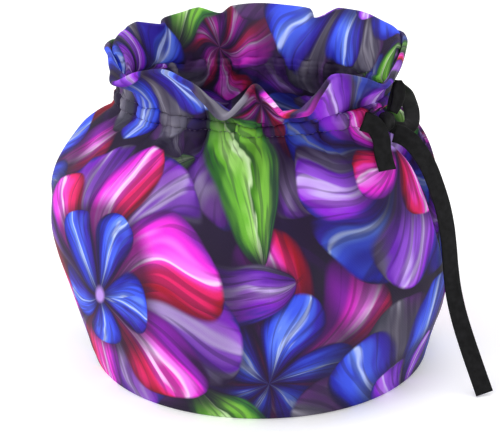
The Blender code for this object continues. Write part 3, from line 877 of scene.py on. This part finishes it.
def panelMesh(name, front, material):
    middle, normals, thick, flat, foot = panelGrid(front)
    rows, columns = thick.shape
    outer = middle + normals * thick[:, :, None]
    inner = middle - normals * thick[:, :, None]
    outer[:, :, 2] = np.maximum(outer[:, :, 2], 0.0)
    inner[:, :, 2] = np.maximum(inner[:, :, 2], 0.0)
    folded = flat.copy()
    folded[:, :, 1] = 2 * flat[-1:, :, 1] - flat[:, :, 1]
    index = np.arange(rows * columns).reshape(rows, columns)
    inside = index + rows * columns

    def quads(a, b, c, d):
        return np.stack([a.ravel(), b.ravel(), c.ravel(), d.ravel()], 1)

    def patch(grid):
        return quads(grid[:-1, :-1], grid[:-1, 1:], grid[1:, 1:], grid[1:, :-1])

    def seam(first, second):
        return quads(first[:-1], first[1:], second[1:], second[:-1])

    outerFaces = patch(index)
    innerFaces = patch(inside)[:, ::-1]
    rimFaces = seam(index[-1], inside[-1])
    hemFaces = seam(inside[0], index[0])
    nearFaces = seam(index[:, 0], inside[:, 0])
    farFaces = seam(inside[:, -1], index[:, -1])
    faces = np.concatenate([outerFaces, innerFaces, rimFaces, hemFaces, nearFaces, farFaces])
    if front:
        faces = faces[:, ::-1]
    outerUv = np.concatenate([flat.reshape(-1, 2), flat.reshape(-1, 2)])
    bothUv = np.concatenate([flat.reshape(-1, 2), folded.reshape(-1, 2)])
    uv = outerUv[faces]
    innerCount = len(outerFaces)
    uv[innerCount : 2 * innerCount] = bothUv[faces[innerCount : 2 * innerCount]]
    points = np.concatenate([outer.reshape(-1, 3), inner.reshape(-1, 3)])
    made = makeObject(name, points, faces.tolist(), material, uv.reshape(-1, 2))
    return made, middle, outer, foot


# Print: blooms and leaves in a half-drop layout, sizes in decimetres of flat cloth

printLook = {
    "roughness": 0.66,
    "weavePerDecimetre": 120.0,
    "weaveBump": 0.22,
    "wobble": 0.30,
    "cell": (1.75, 1.42),
    "lowerShift": (0.875, 0.355),
    "leafShift": (0.385, 0.8804),
    "ground": (0.014, 0.002, 0.034),
    "shadow": (0.010, 0.003, 0.022),
    "heartSize": 0.055,
    "heart": (0.42, 0.24, 0.72),
}
lowerRings = (
    # size, petals, turn, swirl, seed, shadow, colourings to pick from
    (0.74, 7.0, 0.40, 0.30, 2.1, 0.8, ("blue", "rose", "violet")),
    (0.4588, 6.0, 1.00, -0.35, 9.3, 0.8, ("violet", "blue", "rose")),
)
upperRings = (
    (0.74, 6.0, 0.55, -0.25, 4.4, 0.8, ("violet", "blue", "slate")),
    (0.6808, 6.0, 1.10, -0.35, 6.3, 0.5, ("rose", "violet", "blue")),
    (0.36, 5.0, 0.20, -0.50, 11.0, 0.8, ("blue", "rose", "violet")),
)
leaves = (
    # place, turn, length, width, bend, seed, colouring
    ((-0.34, 0.12), 1.15, 0.50, 0.20, 0.55, 0.3, "lime"),
    ((0.26, -0.18), 2.35, 0.46, 0.18, -0.5, 5.1, "lime"),
    ((0.40, 0.30), 0.35, 0.46, 0.17, 0.45, 8.6, "slate"),
    ((-0.18, -0.42), 0.10, 0.44, 0.16, -0.4, 3.2, "violet"),
)
bandColours = {
    # bands from one side of a petal or leaf to the other
    "rose": (
        (0.00, (0.030, 0.002, 0.050)),
        (0.14, (0.240, 0.010, 0.400)),
        (0.32, (0.780, 0.020, 0.640)),
        (0.45, (0.800, 0.180, 0.800)),
        (0.51, (0.900, 0.560, 0.930)),
        (0.57, (0.760, 0.040, 0.480)),
        (0.72, (0.660, 0.010, 0.120)),
        (0.88, (0.300, 0.002, 0.012)),
        (1.00, (0.045, 0.001, 0.020)),
    ),
    "violet": (
        (0.00, (0.020, 0.004, 0.060)),
        (0.13, (0.035, 0.020, 0.360)),
        (0.28, (0.260, 0.018, 0.660)),
        (0.42, (0.420, 0.130, 0.800)),
        (0.52, (0.620, 0.440, 0.920)),
        (0.60, (0.300, 0.080, 0.700)),
        (0.76, (0.130, 0.012, 0.420)),
        (0.88, (0.110, 0.090, 0.170)),
        (1.00, (0.016, 0.006, 0.040)),
    ),
    "blue": (
        (0.00, (0.008, 0.006, 0.060)),
        (0.16, (0.014, 0.018, 0.420)),
        (0.34, (0.040, 0.085, 0.760)),
        (0.47, (0.110, 0.210, 0.850)),
        (0.53, (0.420, 0.520, 0.930)),
        (0.60, (0.050, 0.100, 0.700)),
        (0.78, (0.030, 0.014, 0.360)),
        (1.00, (0.012, 0.004, 0.050)),
    ),
    "lime": (
        (0.00, (0.006, 0.020, 0.010)),
        (0.14, (0.020, 0.120, 0.015)),
        (0.30, (0.140, 0.440, 0.030)),
        (0.42, (0.300, 0.620, 0.120)),
        (0.48, (0.560, 0.780, 0.400)),
        (0.53, (0.050, 0.200, 0.010)),
        (0.70, (0.190, 0.500, 0.050)),
        (0.86, (0.030, 0.150, 0.030)),
        (1.00, (0.008, 0.020, 0.020)),
    ),
    "slate": (
        (0.00, (0.014, 0.012, 0.022)),
        (0.22, (0.060, 0.062, 0.090)),
        (0.40, (0.170, 0.160, 0.220)),
        (0.50, (0.360, 0.340, 0.420)),
        (0.60, (0.110, 0.100, 0.150)),
        (0.80, (0.110, 0.030, 0.180)),
        (1.00, (0.016, 0.006, 0.030)),
    ),
}


def halfDrop(x, y, cell, shift):
    wide = (x + shift[0]) / cell[0]
    column = wide.floor()
    tall = (y + shift[1]) / cell[1] + column.wrapped(2.0) * 0.5
    row = tall.floor()
    return (wide - column - 0.5) * cell[0], (tall - row - 0.5) * cell[1], column, row


def bandedBody(across, pick, names):
    # one band colouring out of three, picked by a whole number from 0 to 2
    first, second, third = [across.ramp(bandColours[name], "EASE") for name in names]
    return pick.soft(1.4, 1.6).mixed(pick.soft(0.4, 0.6).mixed(first, second), third)


def petalRing(below, x, y, pick, size, petals, turn, swirl, seed, shadow, names):
    radius = (x * x + y * y) ** 0.5 / size
    sector = (x.maths("ARCTAN2", y, x) + turn + radius * swirl) * (petals / (2 * math.pi))
    index = sector.floor()
    side = (sector - index) * 2.0 - 1.0
    width = (1.0 - radius ** 5.0).atLeast(0.0) ** 0.5
    edge = side.size() / width.atLeast(0.03)
    inside = edge.soft(1.0, 0.84) * radius.soft(1.0, 0.965)
    streak = (side * 0.9 + index * 3.7 + seed).pair(radius * 0.5 + index).noise(2.3, 2.0, 0.5)
    rib = (side * 1.6 + index * 1.9 + seed * 2.0).pair(radius * 0.25 + index).noise(4.0, 1.0)
    across = side / width.atLeast(0.3) * 0.46 + 0.5 + (streak - 0.5) * 0.55
    body = bandedBody(across, pick, names)
    body = (rib.soft(0.50, 0.38) * 0.45).mixed(body, printLook["ground"])
    body = (radius.soft(0.50, 0.08) * 0.9).mixed(body, printLook["ground"])
    body = (edge.soft(0.55, 1.0) * 0.6).mixed(body, printLook["ground"])
    shade = radius.soft(1.25, 0.9) * shadow
    return inside.mixed(shade.mixed(below, printLook["shadow"]), body)


def leafShape(below, x, y, place, turn, length, width, bend, seed, name):
    x = x - place[0]
    y = y - place[1]
    along = (x * math.cos(turn) + y * math.sin(turn)) / length
    over = (y * math.cos(turn) - x * math.sin(turn)) / width + along * along * bend - bend * 0.4
    outline = (1.0 - along * along).atLeast(0.0) ** 0.7
    side = over / outline.atLeast(0.03)
    inside = side.size().soft(1.0, 0.84) * along.size().soft(1.0, 0.97)
    streak = (side * 0.9 + seed).pair(along * 0.6).noise(2.2, 2.0, 0.5)
    rib = (side * 1.8 + seed * 3.0).pair(along * 0.3).noise(3.6, 1.0)
    body = (side * 0.46 + 0.5 + (streak - 0.5) * 0.5).ramp(bandColours[name], "EASE")
    body = (rib.soft(0.50, 0.38) * 0.5).mixed(body, printLook["ground"])
    body = (along.size().soft(0.55, 1.0) * 0.75).mixed(body, printLook["ground"])
    shade = side.size().soft(1.5, 0.9) * along.size().soft(1.15, 0.9) * 0.75
    return inside.mixed(shade.mixed(below, printLook["shadow"]), body)


def printMaterial(name, shift):
    material, tree, shader = newMaterial(name, printLook["roughness"])
    start = Shade(tree)
    uv = start.node("UVMap", {"uv_map": "clothMap"}, {})
    parts = start.node("SeparateXYZ", {}, {0: uv})
    plainX = parts
    plainY = Shade(tree, parts.socket.node.outputs[1])
    x = plainX + (uv.noise(1.3, 1.0) - 0.5) * printLook["wobble"] + shift[0]
    y = plainY + (uv.noise(1.5, 1.0) - 0.5) * printLook["wobble"] + shift[1]

    # ground: soft dark clouds with brushed streaks
    clouds = (x * 0.8).pair(y * 1.1).noise(1.3, 2.0, 0.5, 0.6)
    ground = clouds.ramp((
        (0.30, (0.008, 0.006, 0.060)),
        (0.44, (0.030, 0.004, 0.070)),
        (0.56, (0.028, 0.028, 0.045)),
        (0.72, (0.130, 0.125, 0.170)),
    ))
    brushed = (x * 0.6 + y * 0.8).pair(y * 6.0 - x * 4.5).noise(1.8, 2.0)
    ground = (brushed.soft(0.52, 0.72) * 0.45).mixed(ground, (0.130, 0.016, 0.300))

    # lower blooms, then leaves, then upper blooms
    cell = printLook["cell"]
    lowX, lowY, column, row = halfDrop(x, y, cell, printLook["lowerShift"])
    pick = (column * 2.0 + row + 1.0).wrapped(3.0)
    colour = ground
    for ring in lowerRings:
        colour = petalRing(colour, lowX, lowY, pick, *ring)
    leafX, leafY, column, row = halfDrop(x, y, cell, printLook["leafShift"])
    for leaf in leaves:
        colour = leafShape(colour, leafX, leafY, *leaf)
    topX, topY, column, row = halfDrop(x, y, cell, (0.0, 0.0))
    pick = (column + row * 2.0).wrapped(3.0)
    for ring in upperRings:
        colour = petalRing(colour, topX, topY, pick, *ring)
    middle = (topX * topX + topY * topY) ** 0.5
    colour = middle.soft(printLook["heartSize"], 0.02).mixed(colour, printLook["heart"])
    tree.links.new(colour.socket, shader.inputs["Base Color"])

    # fine twill
    pitch = printLook["weavePerDecimetre"] * 2 * math.pi
    twill = ((plainX + plainY) * pitch).sine() * 0.5
    rows = ((plainX - plainY) * (pitch * 0.6)).sine() * 0.25
    fibres = uv.noise(90.0, 3.0, 0.6)
    height = twill + rows + fibres
    inputs = {"Height": height, "Strength": printLook["weaveBump"], "Distance": 0.0002}
    bump = start.node("Bump", {}, inputs)
    tree.links.new(bump.socket, shader.inputs["Normal"])
    return material


# Stitches along both edges of the casing

thread = {
    "length": 1.7,
    "pitch": 2.6,
    "radius": 0.18,
    "sides": 5,
    "endColumns": 4,
    "colour": (0.085, 0.065, 0.115),
}
stitchShape = (
    # share of the stitch's length, share of the radius, height over the cloth
    (0.0, 0.35, -0.25),
    (0.12, 0.85, 0.05),
    (0.5, 1.0, 0.15),
    (0.88, 0.85, 0.05),
    (1.0, 0.35, -0.25),
)


def threadMaterial():
    material, tree, shader = newMaterial("stitchThread", 0.6, 0.1)
    shader.inputs["Base Color"].default_value = (*thread["colour"], 1.0)
    return material


def lineAt(middle, surface, target):
    # where each column of a surface crosses its target height
    begin = middle.shape[0] // 3
    upper = np.argmax(middle[begin:, :, 2] > target, axis=0) + begin
    column = np.arange(middle.shape[1])
    under = middle[upper - 1, column, 2]
    part = ((target - under) / (middle[upper, column, 2] - under))[:, None]
    return surface[upper - 1, column] * (1 - part) + surface[upper, column] * part


def oneStitch(path, first, points, faces):
    # adds the rings of one stitch to points and its sides and ends to faces
    sides = thread["sides"]
    heading = unit(path[-1] - path[0])
    outward = unit(np.array([path[2][0], path[2][1], 0.0]))
    side = unit(np.cross(heading, outward))
    out = np.cross(side, heading)
    for spot, (share, size, rise) in zip(path, stitchShape):
        for k in range(sides):
            turn = 2 * math.pi * k / sides
            around = side * math.cos(turn) + out * math.sin(turn)
            points.append(spot + out * rise + around * thread["radius"] * size)
    rings = len(stitchShape)
    for ring in range(rings - 1):
        for k in range(sides):
            a = first + ring * sides + k
            b = first + ring * sides + (k + 1) % sides
            faces.append((a, b, b + sides, a + sides))
    faces.append(tuple(first + k for k in range(sides - 1, -1, -1)))
    faces.append(tuple(first + (rings - 1) * sides + k for k in range(sides)))


def buildStitches(panels, material):
    points = []
    faces = []
    count = 0
    shares = np.array([row[0] for row in stitchShape])
    for middle, outer, foot in panels:
        for rowNumber in (1, 2):
            line = lineAt(middle, outer, steadyCurve(stitchRows, rowNumber, foot))
            line = line[thread["endColumns"] : -thread["endColumns"]]
            steps = np.linalg.norm(np.diff(line, axis=0), axis=1)
            length = np.concatenate([[0.0], np.cumsum(steps)])
            for begin in np.arange(1.0, length[-1] - thread["length"], thread["pitch"]):
                spots = begin + thread["length"] * shares
                path = np.stack([np.interp(spots, length, line[:, k]) for k in range(3)], 1)
                oneStitch(path, len(points), points, faces)
                count += 1
    made = makeObject("casingStitches", np.array(points), faces, material)
    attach(made, "root")
    print("stitches", count)


# The bunched ribbon through both casings, across the left slit and round the right one

drawing = {
    "crossing": 10,
    "hiddenWidth": 0.85,
    "archWidth": 1.45,
    "archFacing": (-0.27, 0.90, -0.35),
    "archTurn": 0.3,
    "columnStep": 6,
    "flatness": 0.8,
    "sway": 0.2,
    "swayLength": 5.0,
    "startInKnot": 4.0,
    "endInKnot": 2.5,
    "endDrop": 3.0,
    "knotAngle": -18.0,
    "knotReach": 72.3,
    "knotHeight": 133.0,
    "knotHalf": (3.2, 4.6, 4.4),
    "knotSquareness": 0.62,
}
slitArch = (
    # x, y, z from the back casing round the outside of the right slit to the knot
    (61.6, 35.4, 134.4),
    (64.8, 28.6, 134.8),
    (69.6, 20.4, 134.7),
    (72.9, 12.0, 133.4),
    (76.1, 3.0, 131.0),
    (77.8, -6.0, 128.4),
    (76.0, -12.6, 127.2),
)
stringSection = (
    # across and through the bunched ribbon
    (2.7, 0.0), (2.5, 0.4), (1.7, 0.75), (0.9, 0.55), (0.3, 0.9), (-0.5, 0.6),
    (-1.4, 0.8), (-2.4, 0.5), (-2.7, 0.0), (-2.5, -0.4), (-1.6, -0.7),
    (-0.6, -0.6), (0.2, -0.85), (1.1, -0.6), (1.9, -0.7), (2.5, -0.4),
)


def knotFrame():
    turn = math.radians(drawing["knotAngle"])
    outward = np.array([math.cos(turn), math.sin(turn), 0.0])
    along = np.array([-math.sin(turn), math.cos(turn), 0.0])
    middle = outward * drawing["knotReach"] + np.array([0.0, 0.0, drawing["knotHeight"]])
    return middle, outward, along


def casingLine(middle, outer, foot):
    # middle of the casing, on the cloth's own middle surface
    target = 0.5 * (steadyCurve(stitchRows, 1, foot) + steadyCurve(stitchRows, 2, foot))
    line = lineAt(middle, middle, target)
    step = drawing["columnStep"]
    return np.concatenate([line[:1], line[step:-step:step], line[-1:]])


def buildDrawstring(material, panels):
    middle, outward, along = knotFrame()
    front, back = [casingLine(*panel) for panel in panels]
    places = [middle - along * drawing["startInKnot"]]
    places += list(front)
    begin = math.atan2(front[-1][1], front[-1][0]) % (2 * math.pi)
    end = math.atan2(back[-1][1], back[-1][0])
    reach = 0.5 * (np.hypot(*front[-1][:2]) + np.hypot(*back[-1][:2]))
    for part in np.linspace(0.0, 1.0, drawing["crossing"] + 2)[1:-1]:
        turn = begin + (end - begin) * part
        height = front[-1][2] * (1 - part) + back[-1][2] * part
        places.append(np.array([reach * math.cos(turn), reach * math.sin(turn), height]))
    places += list(back[::-1])
    hidden = len(places)
    finish = middle + along * drawing["endInKnot"] - (0.0, 0.0, drawing["endDrop"])
    arch = np.array([back[0], *slitArch, finish])
    places += list(smoothPath(arch, ribbon["pieces"])[1:])
    places = np.array(places)
    bare = np.linspace(0.0, 1.0, len(places) - hidden)[:, None]
    width = np.full(len(places), drawing["hiddenWidth"])
    opened = np.sin(math.pi * bare[:, 0]) ** 0.4
    width[hidden:] += (drawing["archWidth"] - drawing["hiddenWidth"]) * opened
    heading = unit(np.gradient(places, axis=0))
    facing = unit(places * (1.0, 1.0, 0.0))
    turning = smoothStep(bare, 0.0, drawing["archTurn"])
    turned = facing[hidden:] * (1 - turning) + np.array(drawing["archFacing"]) * turning
    facing[hidden:] = unit(turned)
    upward = unit(np.cross(heading, facing))
    outward = np.cross(upward, heading)
    length = np.concatenate([[0.0], np.cumsum(np.linalg.norm(np.diff(places, axis=0), axis=1))])
    rings = []
    for place, up, out, at, scale in zip(places, upward, outward, length, width):
        sway = drawing["sway"] * math.sin(at / drawing["swayLength"]) / stringSection[0][0]
        rings.append(np.array([
            place + up * wide * scale + out * (drawing["flatness"] * thin + sway * wide)
            for wide, thin in stringSection
        ]))
    across = [wide * milli for wide, thin in stringSection]
    made = sweptMesh("drawstringRibbon", rings, across, length * milli, material)
    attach(made, "root")
    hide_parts("drawstring")


def buildKnot(material):
    middle, outward, along = knotFrame()
    up = np.array([0.0, 0.0, 1.0])
    rings = 40
    sectors = 56
    polar = np.linspace(-math.pi / 2, math.pi / 2, rings)[:, None]
    turn = np.linspace(0.0, 2 * math.pi, sectors, endpoint=False)[None, :]

    def softened(value):
        return np.sign(value) * np.abs(value) ** drawing["knotSquareness"]

    out = softened(np.cos(polar)) * softened(np.cos(turn))
    side = softened(np.cos(polar)) * softened(np.sin(turn))
    rise = softened(np.sin(polar)) * np.ones_like(turn)
    wraps = np.abs(np.sin(2.2 * side + 1.4 * rise + 0.5)) ** 0.7
    wraps = wraps + 0.35 * np.abs(np.sin(4.0 * side - 1.2 * rise))
    scale = 0.93 + 0.09 * wraps
    halfOut, halfAlong, halfUp = drawing["knotHalf"]
    points = (
        middle
        + (out * scale * halfOut)[:, :, None] * outward
        + (side * scale * halfAlong)[:, :, None] * along
        + (rise * scale * halfUp)[:, :, None] * up
    )
    across = [k * 0.0005 for k in range(sectors)]
    made = sweptMesh("bowKnot", list(points), across, np.arange(rings) * 0.0003, material)
    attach(made, "root")
    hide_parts("knot")


buildCamera()
floor = buildStudio()
print("camera and studio")
buildTails()
print("tails")

stringLook = ribbonMaterial("drawstringCloth")
loop = ribbonStrip("bowLoop", bowLoop, stringLook, ribbon["loopCup"])[0]
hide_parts("bow_loop")
buildKnot(stringLook)
print("knot and loop")

panels = []
for name, front, node, shift, slotName in (
    ("frontPanel", True, "front_panel", (0.30, 0.10), "front_print"),
    ("backPanel", False, "back_panel", (1.20, 0.45), "back_print"),
):
    panel, middle, outer, foot = panelMesh(name, front, printMaterial(name + "Print", shift))
    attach(panel, "root")
    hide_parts(node)
    panels.append((middle, outer, foot))
    print(name, len(panel.data.polygons), "faces")
buildStitches(panels, threadMaterial())
buildDrawstring(stringLook, panels)
print("stitches and drawstring")
